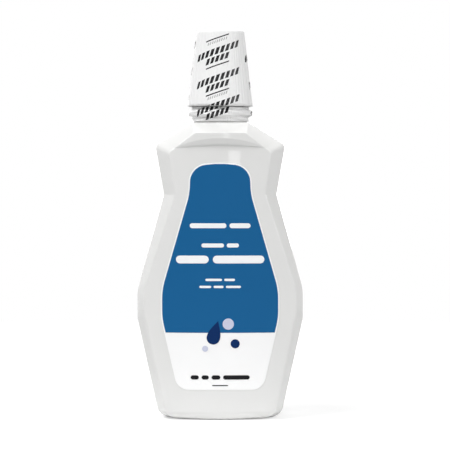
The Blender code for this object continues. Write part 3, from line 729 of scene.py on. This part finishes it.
def strokes(net, across, height):
    slanted = maths(net, "SUBTRACT", height, maths(net, "MULTIPLY", across, RISE))
    ink = None
    for above, half_height, half_length, period, width, darkness, every in ROWS:
        from_row = repeated(net, maths(net, "SUBTRACT", slanted, TOP_ROW + above), every * ROW_PERIOD)
        in_row = within(net, from_row, -half_height, half_height)
        leaning = maths(net, "SUBTRACT", across, maths(net, "MULTIPLY", from_row, LEAN))
        in_block = within(net, leaning, -half_length, half_length)
        stroke = within(net, repeated(net, leaning, period), -width / 2, width / 2)
        row = maths(net, "MULTIPLY", maths(net, "MULTIPLY", in_row, in_block), stroke)
        row = maths(net, "MULTIPLY", row, darkness)
        ink = row if ink is None else maths(net, "MAXIMUM", ink, row)
    return maths(net, "MULTIPLY", ink, within(net, slanted, PRINT_FOOT, PRINT_TOP))


# %% [markdown]
# The film itself is white and glossy. Between the modelled pleats it has finer creases, which run up the
# cap. They are a noise, drawn out along the height.

# %% White film with black strokes
FILM_COLOUR = (0.86, 0.86, 0.86)
PRINT_BLACK = (0.006, 0.006, 0.008)
band_film = new_finish("band film", FILM_COLOUR, roughness=0.25, specular=0.3)
add_grain(band_film, scale=900.0, height=0.3 * MM, strength=0.8, stretch=(1.0, 1.0, 0.07))
net = band_film.node_tree
flat = net.nodes.new("ShaderNodeUVMap")
flat.uv_map = "rolled flat"
parts = net.nodes.new("ShaderNodeSeparateXYZ")
net.links.new(flat.outputs["UV"], parts.inputs[0])
across = maths(net, "SUBTRACT", repeated(net, parts.outputs["X"], BLOCK_WIDTH), PRINT_SHIFT)
colour_between(net, strokes(net, across, parts.outputs["Y"]), FILM_COLOUR, PRINT_BLACK)

# %% [markdown]
# The upper part of the film is the cap's outer line, moved out by the gap and by the film's thickness.
# It turns in over the edge of the flat top. A little more gap keeps the pleats off the ribs of the cap.

# %% Film on the cap
BAND_OVERLAP = 4.5 * MM
TEAR_GAP = 0.4 * MM
FILM_SEGMENTS = 384


def film_on_cap():
    foot = SHELL_FOOT_HEIGHT + TEAR_GAP / 2
    lines = []
    for gap in (FIT_GAP, FIT_GAP + FILM):
        line = rounded_top(gap)
        line[0] = (shell_radius(foot) + gap, foot)
        line.append((line[-1][0] - BAND_OVERLAP, line[-1][1]))
        lines.append(line)
    bm = turned(lines[0] + lines[1][::-1], FILM_SEGMENTS)
    ripple(bm, pleat)
    unroll(bm)
    return bm


add_piece("film_on_cap", film_on_cap(), band_film, "cap", "shrink_band_upper")

# %% [markdown]
# The lower part stays on the neck when the cap is first turned. It follows the bead, is drawn in above
# and below it, and ends just over the platform. It shrank the most, so besides the upright pleats it has
# slack folds that run round it and rise and fall. For those its line needs many short steps.

# %% Steps along a line
def stepped(line, longest):
    """The same line with points added, so that no step of it is longer than given."""
    points = [line[0]]
    for a, b in zip(line, line[1:]):
        count = max(1, math.ceil((b - a).length / longest))
        points += [a.lerp(b, (i + 1) / count) for i in range(count)]
    return points


# %% [markdown]
# The slack folds are one more ripple, this time up the height. Its height shifts with the angle, so that
# the folds slant and meet. A sine without its sign is round outside and sharp where two folds meet.

# %% Film on the neck
BAND_WAIST_RADIUS = 17.8 * MM
BAND_ROUND = 0.9 * MM
FOLD_STEP = 0.35 * MM
FOLD_HEIGHT = 3.1 * MM
FOLD_SIZE = 0.26 * MM
PLEAT_SHARE = 0.8
BAND_FOOT_GAP = 1.1 * MM
# Each swing of the folds: its count round the neck, its size, and the angle at which it starts
FOLD_SWINGS = ((1, 1.5, 0.4), (2, 0.9, 2.0))


def slack_fold(angle, height):
    swing = sum(size * math.sin(count * angle + start) for count, size, start in FOLD_SWINGS)
    fold = abs(math.sin(math.pi * height / FOLD_HEIGHT + swing))
    return 2 * FOLD_SIZE * fold + PLEAT_SHARE * pleat(angle, height)


def film_on_neck():
    foot = PLATFORM_HEIGHT + BAND_FOOT_GAP
    top = SHELL_FOOT_HEIGHT - TEAR_GAP
    lines = []
    for gap in (FIT_GAP, FIT_GAP + FILM):
        corners = [
            Vector((NECK_FOOT_RADIUS + gap, foot)),
            Vector((NECK_FOOT_RADIUS + gap, BEAD_FOOT_HEIGHT - bead_slope)),
            Vector((BEAD_RADIUS + gap, BEAD_FOOT_HEIGHT)),
            Vector((BEAD_RADIUS + gap, BEAD_TOP_HEIGHT)),
            Vector((BAND_WAIST_RADIUS + gap, BEAD_TOP_HEIGHT + bead_slope)),
            Vector((BAND_WAIST_RADIUS + gap, top)),
        ]
        line = [corners[0]]
        for i in range(1, len(corners) - 1):
            line += fillet(corners[i - 1], corners[i], corners[i + 1], BAND_ROUND)
        line.append(corners[-1])
        lines.append([tuple(p) for p in stepped(line, FOLD_STEP)])
    bm = turned(lines[0] + lines[1][::-1], FILM_SEGMENTS)
    ripple(bm, slack_fold)
    unroll(bm)
    return bm


add_piece("film_on_neck", film_on_neck(), band_film, "bottle", "shrink_band_lower")

# %% [markdown]
# ## The labels
# The front label is a white film, cut to the shape of the panel. Its outline is symmetric, so only the
# right half of its edge is drawn, from the top edge down to the foot.

# %% Right half of the label's edge
LABEL_CORNERS = (
    (-19.8 * MM, 164.7 * MM),
    (19.8 * MM, 164.7 * MM),
    (20.3 * MM, 145.5 * MM),
    (38.0 * MM, 84.1 * MM),
    (38.0 * MM, 65.6 * MM),
    (27.3 * MM, 19.7 * MM),
    (0.0, 19.7 * MM),
)
LABEL_RADII = (12.0 * MM, 40.0 * MM, 45.0 * MM, 45.0 * MM, 9.0 * MM)
LABEL_ARC_STEPS = 10
LABEL_ARC_ROOM = 0.7
LABEL_TOP_BOW = 0.5 * MM
EDGE_STEP = 3.0 * MM


def label_side():
    corners = [Vector(c) for c in LABEL_CORNERS]
    line = []
    for i, radius in enumerate(LABEL_RADII):
        near = corners[i:i + 3]
        line += fillet(*near, radius, LABEL_ARC_STEPS, LABEL_ARC_ROOM)
    return stepped(line + corners[-1:], EDGE_STEP)


def closed_by_mirror(side):
    """The half edge, the straight foot, the mirrored half, and a top edge that bows up a little."""
    left = [Vector((-p.x, p.y)) for p in side]
    foot = stepped([side[-1], left[-1]], EDGE_STEP)[1:] if side[-1].x > 0.0 else []
    top = stepped([left[0], side[0]], EDGE_STEP)[1:-1]
    bowed = [Vector((p.x, p.y + LABEL_TOP_BOW * (1 - (p.x / side[0].x) ** 2))) for p in top]
    return side + foot + left[-2::-1] + bowed


# %% [markdown]
# The blue field is the same outline, drawn in by a narrow white border and cut off level above the foot.

# %% Drawing an edge in, and cutting it level
PRINT_BORDER = 0.85 * MM
PRINT_FOOT_HEIGHT = 56.4 * MM
LEAST_STEP = PRINT_BORDER / 2


def drawn_in(line, border):
    moved = []
    for i, p in enumerate(line):
        along = line[min(i + 1, len(line) - 1)] - line[max(i - 1, 0)]
        inward = Vector((along.y, -along.x)).normalized()
        moved.append(p + inward * border)
    return moved


def cut_level(line, foot):
    """The line down to the foot. Points that lie only just above the foot are left out."""
    kept = [p for p in line if p.y > foot + LEAST_STEP]
    below = line[len(kept)]
    share = (kept[-1].y - foot) / (kept[-1].y - below.y)
    return kept + [kept[-1].lerp(below, share)]


edge_line = label_side()
blue_line = cut_level(drawn_in(edge_line, PRINT_BORDER), PRINT_FOOT_HEIGHT)
print("points on the label's half edge:", len(edge_line), "on the blue field's:", len(blue_line))

# %% [markdown]
# A thin sheet can lie on a curved panel if it has enough points inside its outline. The loft does that
# too. Its loops are the outline, shrunk towards the middle: they grow over the outer face up to the full
# outline, step in by the thickness, and shrink again over the inner face. Every point is set on the panel
# at its place. The two loops beside the edge keep the smooth shading from reaching far into the sheet.

# %% Laying a sheet on the panel
LABEL_LOOPS = (0.02, 0.1, 0.2, 0.3, 0.4, 0.5, 0.6, 0.7, 0.8, 0.9, 0.98, 0.997, 1.0)
MARK_LOOPS = (0.05, 0.5, 0.97, 1.0)
SHEET_THICKNESS = 0.05 * MM


def sheet_on_panel(outline, middle, stand_off, shares=MARK_LOOPS, facing=-1.0):
    loops = []
    for share in shares:
        points = [middle.lerp(p, share) for p in outline]
        loops.append([Vector((p.x, facing * (panel_depth(p.x) + stand_off), p.y)) for p in points])
    sink = Vector((0.0, -facing * SHEET_THICKNESS, 0.0))
    loops += [[point + sink for point in loop] for loop in loops[::-1]]
    return loft(loops, close_start=True)


# %% [markdown]
# The film is printed: a blue field on the front. Ink is a little duller than the bare film. Both have the
# faint orange-peel of a printed surface.

# %% White film and blue ink
FILM_STAND_OFF = 0.10 * MM
INK_STAND_OFF = 0.17 * MM
MARK_STAND_OFF = 0.24 * MM
LABEL_MIDDLE = Vector((0.0, 95.0 * MM))


def printed_finish(name, colour, roughness=0.4, specular=0.12):
    finish = new_finish(name, colour, roughness, specular)
    add_grain(finish, scale=200.0, height=0.01 * MM, strength=0.2)
    return finish


label_film = printed_finish("label film", (0.96, 0.96, 0.96), roughness=0.35, specular=0.3)
ink_blue = printed_finish("blue ink", (0.0085, 0.1130, 0.2900))
film_outline = closed_by_mirror(edge_line)
blue_outline = closed_by_mirror(blue_line)
front_film = sheet_on_panel(film_outline, LABEL_MIDDLE, FILM_STAND_OFF, LABEL_LOOPS)
add_piece("front_label_film", front_film, label_film, "bottle", "front_label")
front_blue = sheet_on_panel(blue_outline, LABEL_MIDDLE, INK_STAND_OFF, LABEL_LOOPS)
add_piece("front_label_blue", front_blue, ink_blue, "bottle", "front_label_print")
back_film = sheet_on_panel(film_outline, LABEL_MIDDLE, FILM_STAND_OFF, LABEL_LOOPS, facing=1.0)
add_piece("back_label_film", back_film, label_film, "bottle", "back_label")

# %% [markdown]
# ## The marks on the label
# The label carries no words. Where lines of print would stand, it has rows of plain bars with round ends.
# Every bar is a small sheet of ink. They are made one by one and then gathered into one piece, because
# operators are slow in a mesh that grows.

# %% A bar with round ends, and a row of bars
BAR_END_STEPS = 8


def bar_outline(left, right, height, tall):
    points = []
    for side, centre in ((1.0, right - tall / 2), (-1.0, left + tall / 2)):
        for i in range(BAR_END_STEPS + 1):
            angle = math.pi * (i / BAR_END_STEPS - 0.5)
            around = Vector((math.cos(angle), math.sin(angle))) * side
            points.append(Vector((centre, height)) + around * tall / 2)
    return stepped(points + points[:1], EDGE_STEP)[:-1]


def row_of_bars(height, tall, lengths, gap, facing=-1.0):
    left = -(sum(lengths) + gap * (len(lengths) - 1)) / 2
    row = []
    for length in lengths:
        outline = bar_outline(left, left + length, height, tall)
        middle = Vector((left + length / 2, height))
        row.append(sheet_on_panel(outline, middle, MARK_STAND_OFF, facing=facing))
        left += length + gap
    return row


def gathered(sheets):
    whole = bmesh.new()
    carrier = bpy.data.meshes.new("carrier")
    for sheet in sheets:
        sheet.to_mesh(carrier)
        sheet.free()
        whole.from_mesh(carrier)
    bpy.data.meshes.remove(carrier)
    return whole


# %% [markdown]
# The biggest row stands a little above the middle of the blue field, with a lighter row above it, another
# at the shoulder and two small ones below.

# %% Bars on the front label
# Each row: height of its middle, how tall it is, the lengths of its bars, and the gap between them
WHITE_ROWS = (
    (124.9, 3.1, (23.5, 13.5), 1.9),
    (112.3, 2.6, (14.5, 7.8), 1.7),
    (103.3, 5.0, (21.0, 33.0), 2.6),
    (90.3, 1.5, (10.6, 6.8), 1.5),
    (85.8, 1.5, (7.6, 6.4, 9.6), 1.5),
)
BLACK_ROWS = (
    (27.8, 2.7, (5.2, 4.6, 5.6, 17.0), 1.8),
    (22.6, 0.6, (10.2,), 1.0),
)


def bars(rows, facing=-1.0):
    sheets = []
    for height, tall, lengths, gap in rows:
        lengths = [length * MM for length in lengths]
        sheets += row_of_bars(height * MM, tall * MM, lengths, gap * MM, facing)
    return gathered(sheets)


ink_white = printed_finish("white ink", (0.96, 0.96, 0.97))
ink_black = printed_finish("black ink", (0.010, 0.010, 0.012))
add_piece("label_white_bars", bars(WHITE_ROWS), ink_white, "bottle")
add_piece("label_black_bars", bars(BLACK_ROWS), ink_black, "bottle")

# %% [markdown]
# Where the blue ends there is a small group of drops and bubbles, dark blue and pale. A drop is a circle
# whose width shrinks towards its top, and a bubble is the same shape without the point. The loops of a
# drop shrink towards its heart, which lies below the middle, where it is widest.

# %% Drops and bubbles
DROP_STEPS = 40
DROP_STRETCH = 1.3
DROP_PINCH = 1.4
HEART_SHARE = 0.35


def drop(middle, size, lean, pointed):
    outline = []
    for i in range(DROP_STEPS):
        angle = 2 * math.pi * i / DROP_STEPS
        pinch = math.sin(angle / 2) ** DROP_PINCH if pointed else 1.0
        stretch = DROP_STRETCH if pointed else 1.0
        across = size * math.sin(angle) * pinch
        up = size * math.cos(angle) * stretch
        turned_across = across * math.cos(lean) - up * math.sin(lean)
        turned_up = across * math.sin(lean) + up * math.cos(lean)
        outline.append(middle + Vector((turned_across, turned_up)))
    heart = middle
    if pointed:
        heart = middle + Vector((math.sin(lean), -math.cos(lean))) * size * HEART_SHARE
    return sheet_on_panel(outline, heart, MARK_STAND_OFF)


# Each one: across, height, size, lean in degrees, and whether it is pointed
DARK_DROPS = ((-3.4, 56.6, 6.0, -16.0, True), (9.6, 49.4, 2.9, 0.0, False))
PALE_DROPS = ((5.2, 62.0, 3.6, 0.0, False), (-9.6, 46.2, 1.9, 0.0, False))


def drops(marks):
    sheets = []
    for across, height, size, lean, pointed in marks:
        middle = Vector((across * MM, height * MM))
        sheets.append(drop(middle, size * MM, math.radians(lean), pointed))
    return gathered(sheets)


ink_navy = printed_finish("dark blue ink", (0.0018, 0.0240, 0.1100))
ink_pale = printed_finish("pale ink", (0.600, 0.620, 0.760))
add_piece("label_dark_drops", drops(DARK_DROPS), ink_navy, "bottle")
add_piece("label_pale_drops", drops(PALE_DROPS), ink_pale, "bottle")

# %% [markdown]
# The back label would have directions in small print. It gets a blue heading and rows of small grey bars,
# set as ragged lines. The lengths come from a short repeating list, so no two rows that touch are alike.

# %% Bars on the back label
BACK_ROWS = 15
BACK_TOP = 122.0
BACK_STEP = 5.6
BACK_TALL = 1.1
BACK_GAP = 1.3
BACK_MARGIN = 6.0
WORDS = (7.0, 3.2, 9.4, 5.0, 2.4, 6.2, 4.1, 8.3, 3.6, 5.7, 2.9)
HEADING_ROWS = ((140.0, 4.2, (22.0,), 1.0), (131.5, 2.6, (11.0, 14.0), 1.8))


def back_rows():
    rows = []
    word = 0
    for i in range(BACK_ROWS):
        height = BACK_TOP - i * BACK_STEP
        side = next(p.x for p in edge_line if p.y < height * MM) / MM
        room = 2 * (side - BACK_MARGIN)
        lengths = []
        while sum(lengths) + BACK_GAP * len(lengths) + WORDS[word % len(WORDS)] < room:
            lengths.append(WORDS[word % len(WORDS)])
            word += 1
        rows.append((height, BACK_TALL, lengths, BACK_GAP))
    return rows


ink_grey = printed_finish("grey ink", (0.070, 0.075, 0.085))
add_piece("back_label_bars", bars(back_rows(), facing=1.0), ink_grey, "bottle")
add_piece("back_label_heading", bars(HEADING_ROWS, facing=1.0), ink_blue, "bottle")

# %% [markdown]
# ## What the bottle hides
# Three solids of the frame have the right shape as they are, and get a finish only. The rinse is a clear
# blue-green liquid, a little deeper towards the bottom. The seal ring is foamed, so its surface is
# full of small cells. The measuring cup is milky, because its plastic isn't coloured.

# %% Finishes for the solids that stay
RINSE_DEEP = (0.28, 0.66, 0.74)
RINSE_PALE = (0.42, 0.78, 0.82)
WATER_IOR = 1.333


def colour_by_height(finish, low_colour, high_colour, low, high):
    net = finish.node_tree
    place = net.nodes.new("ShaderNodeTexCoord")
    axes = net.nodes.new("ShaderNodeSeparateXYZ")
    ramp = net.nodes.new("ShaderNodeMapRange")
    ramp.inputs["From Min"].default_value = low
    ramp.inputs["From Max"].default_value = high
    net.links.new(place.outputs["Object"], axes.inputs[0])
    net.links.new(axes.outputs["Z"], ramp.inputs["Value"])
    colour_between(net, ramp.outputs["Result"], low_colour, high_colour)


def refinish(node, finish):
    """Gives a solid of the frame its finish. The solid itself isn't changed."""
    for slot in frame["nodes"][node].material_slots:
        slot.material = finish


rinse = new_finish("rinse", RINSE_PALE, roughness=0.03)
rinse.node_tree.nodes["Principled BSDF"].inputs["IOR"].default_value = WATER_IOR
colour_by_height(rinse, RINSE_DEEP, RINSE_PALE, 0.0, PLATFORM_HEIGHT)
foam = new_finish("seal foam", (0.72, 0.76, 0.80), roughness=0.8, specular=0.2)
add_grain(foam, scale=2500.0, height=0.1 * MM, strength=0.6)
milky = new_finish("milky plastic", (0.78, 0.82, 0.84), roughness=0.3)
add_grain(milky, scale=120.0, height=0.04 * MM, strength=0.2)
for finish, share in ((rinse, 0.85), (milky, 0.3)):
    finish.node_tree.nodes["Principled BSDF"].inputs["Transmission Weight"].default_value = share
refinish("mouthwash", rinse)
refinish("seal_ring", foam)
refinish("dosing_cup", milky)

# %% [markdown]
# The lowest few millimetres of the bottle are painted a little whiter, by the same change of colour with
# height.
# This is painted light: it keeps the heel bright where its rounded underside would lie in shade.

# %% Painted light on the heel
# Painted light: the colour at the very foot is whiter than the plastic, to lighten the shaded heel
HEEL_PAINTED_LIGHT = (0.87, 0.87, 0.86)
HEEL_REACH = 5.0 * MM
colour_by_height(bottle_white, HEEL_PAINTED_LIGHT, BOTTLE_COLOUR, 0.0, HEEL_REACH)

# %% [markdown]
# ## The camera, the floor and the light
# The photo is taken from the height of the shoulder with a long lens, so the camera stands well back and
# looks down a very little. The image is 450 pixels wide and shows 295 mm at the bottle.

# %% Camera
CAMERA_DISTANCE = 1.300
CAMERA_HEIGHT = 0.163
AIM_HEIGHT = 0.1244
CAMERA_SIDE = 0.0031
FRAME_WIDTH = 0.29475
SENSOR_WIDTH = 36.0

lens_data = bpy.data.cameras.new("camera")
lens_data.sensor_width = SENSOR_WIDTH
aim_distance = math.hypot(CAMERA_DISTANCE, CAMERA_HEIGHT - AIM_HEIGHT)
lens_data.lens = SENSOR_WIDTH * aim_distance / FRAME_WIDTH
camera = new_object("camera", lens_data)
camera.location = (CAMERA_SIDE, -CAMERA_DISTANCE, CAMERA_HEIGHT)
camera.rotation_euler = (math.pi / 2 - math.atan2(CAMERA_HEIGHT - AIM_HEIGHT, CAMERA_DISTANCE), 0.0, 0.0)
bpy.context.scene.camera = camera

# %% [markdown]
# The bottle stands on a round pale table. Its middle is the palest, which lights the heel of the bottle
# from below. Further out it is darker, so that the ledge isn't lit from below as well.

# %% Floor
FLOOR_RADIUS = 0.8
FLOOR_SEGMENTS = 96
FLOOR_PALE = (0.93, 0.93, 0.93)
FLOOR_FAR = (0.60, 0.60, 0.60)
PALE_RADIUS = 0.08
floor_bm = bmesh.new()
bmesh.ops.create_circle(floor_bm, segments=FLOOR_SEGMENTS, radius=FLOOR_RADIUS, cap_ends=True)
floor_mesh = bpy.data.meshes.new("floor")
floor_bm.to_mesh(floor_mesh)
floor_bm.free()
floor = new_object("floor", floor_mesh)
floor_finish = new_finish("floor white", FLOOR_PALE, roughness=0.9, specular=0.0)
floor_mesh.materials.append(floor_finish)

floor_net = floor_finish.node_tree
spot = floor_net.nodes.new("ShaderNodeTexCoord")
from_middle = floor_net.nodes.new("ShaderNodeVectorMath")
from_middle.operation = "LENGTH"
outwards = floor_net.nodes.new("ShaderNodeMapRange")
outwards.inputs["From Min"].default_value = PALE_RADIUS
outwards.inputs["From Max"].default_value = 2 * PALE_RADIUS
floor_net.links.new(spot.outputs["Object"], from_middle.inputs[0])
floor_net.links.new(from_middle.outputs["Value"], outwards.inputs["Value"])
colour_between(floor_net, outwards.outputs["Result"], FLOOR_PALE, FLOOR_FAR)

# %% [markdown]
# A share of what the camera sees of the table is its own glow, so that it is white like the background,
# and the rest is lit. Close to the bottle that share is smaller, so the table keeps the bottle's soft
# shadow.

# %% Glow that only the camera sees
GLOW_SHARE_NEAR = 0.35
GLOW_SHARE_FAR = 0.6
FLOOR_GLOW = 1.6
glow = floor_net.nodes.new("ShaderNodeEmission")
glow.inputs["Strength"].default_value = FLOOR_GLOW
seen = floor_net.nodes.new("ShaderNodeLightPath")
both = floor_net.nodes.new("ShaderNodeMixShader")
more_share = maths(floor_net, "MULTIPLY", outwards.outputs["Result"], GLOW_SHARE_FAR - GLOW_SHARE_NEAR)
glow_share = maths(floor_net, "ADD", more_share, GLOW_SHARE_NEAR)
shown_share = maths(floor_net, "MULTIPLY", seen.outputs["Is Camera Ray"], glow_share)
floor_net.links.new(shown_share, both.inputs[0])
floor_net.links.new(floor_net.nodes["Principled BSDF"].outputs[0], both.inputs[1])
floor_net.links.new(glow.outputs[0], both.inputs[2])
floor_net.links.new(both.outputs[0], floor_net.nodes["Material Output"].inputs["Surface"])

# %% [markdown]
# The room is white and even. What lights the bottle is weaker than what the camera sees, so the
# background is white and the white plastic isn't washed out. Reflections see the white room as well.

# %% World
WORLD_LIGHT = 0.12
world = bpy.data.worlds.new("studio")
bpy.context.scene.world = world
world.use_nodes = True
world_net = world.node_tree
room = world_net.nodes["Background"]
room.inputs["Color"].default_value = (1.0, 1.0, 1.0, 1.0)
path = world_net.nodes.new("ShaderNodeLightPath")
shiny = maths(world_net, "MAXIMUM", path.outputs["Is Glossy Ray"], path.outputs["Is Transmission Ray"])
visible = maths(world_net, "MAXIMUM", path.outputs["Is Camera Ray"], shiny)
level = world_net.nodes.new("ShaderNodeMapRange")
level.inputs["To Min"].default_value = WORLD_LIGHT
level.inputs["To Max"].default_value = 1.0
world_net.links.new(visible, level.inputs["Value"])
world_net.links.new(level.outputs["Result"], room.inputs["Strength"])

# %% [markdown]
# The photo's light comes mostly from high on the left, with weaker lamps on the right, above and in
# front. They make the shoulders the brightest faces and the right chamfers the darkest. A narrow upright
# lamp beside the camera gives the one sharp highlight on the glossy front, right of the middle. A lamp
# behind lights the back label, and does next to nothing to the front.

# %% Lamps
def add_lamp(name, place, aim, size, power):
    data = bpy.data.lights.new(name, "AREA")
    data.shape = "RECTANGLE"
    data.size, data.size_y = size
    data.energy = power
    lamp = new_object(name, data)
    lamp.location = place
    lamp.rotation_euler = (Vector(aim) - Vector(place)).to_track_quat("-Z", "Y").to_euler()


MIDDLE = (0.0, 0.0, 0.12)
# Each lamp: its name, where it hangs, how large it is, and its power in watts
LAMPS = (
    ("key", (-0.8, -0.5, 1.2), (0.8, 0.8), 17.3),
    ("fill", (1.1, -0.7, 0.7), (0.8, 0.8), 8.2),
    ("top", (0.0, 0.1, 1.3), (0.9, 0.9), 3.1),
    ("front", (0.5, -1.1, 1.2), (0.8, 0.8), 3.2),
    ("strip", (0.119, -1.45, 0.42), (0.1, 0.6), 0.5),
    ("back", (-0.2, 1.4, 0.5), (0.9, 0.9), 6.5),
)
for name, place, size, power in LAMPS:
    add_lamp(name, place, MIDDLE, size, power)

# %% [markdown]
# The standard view shows each colour about as it is written.

# %% View
bpy.context.scene.view_settings.view_transform = "Standard"
